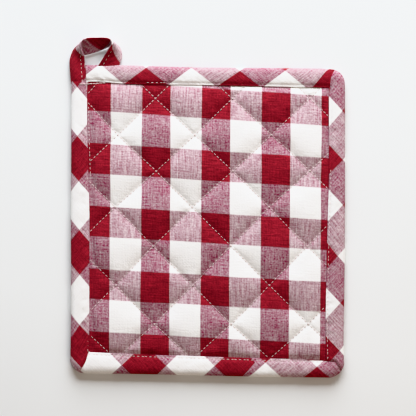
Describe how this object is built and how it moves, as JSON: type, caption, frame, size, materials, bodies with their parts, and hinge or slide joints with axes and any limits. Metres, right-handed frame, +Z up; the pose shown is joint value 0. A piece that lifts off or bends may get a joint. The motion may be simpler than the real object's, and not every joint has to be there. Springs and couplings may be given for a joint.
{
  "type": "quilted pot holder with hanging loop",
  "caption": "Flat rectangular quilted cloth pot holder in gingham, bound round its edge, with a short hanging loop at one corner.",
  "frame": {"origin": "On the surface the pot holder lies on, under the middle of its whole outline, loop included.", "axes": "+Z is up out of the patterned face, +Y is along the long side towards the hanging loop, +X is to the right with the loop at the far left corner."},
  "size_m": [0.2036, 0.2518, 0.0122],
  "materials": {
    "quilted_gingham": "woven cotton check in red and white, matt, machine quilted with off-white thread",
    "bias_tape": "the same woven cotton cut on the bias, folded and topstitched, matt",
    "loop_tape": "folded bias tape of the same cotton, stitched along one edge, matt"
  },
  "bodies": {
    "root": {"quilted_panel": "quilted_gingham", "binding": "bias_tape", "hanging_loop": "loop_tape"}
  },
  "joints": []
}
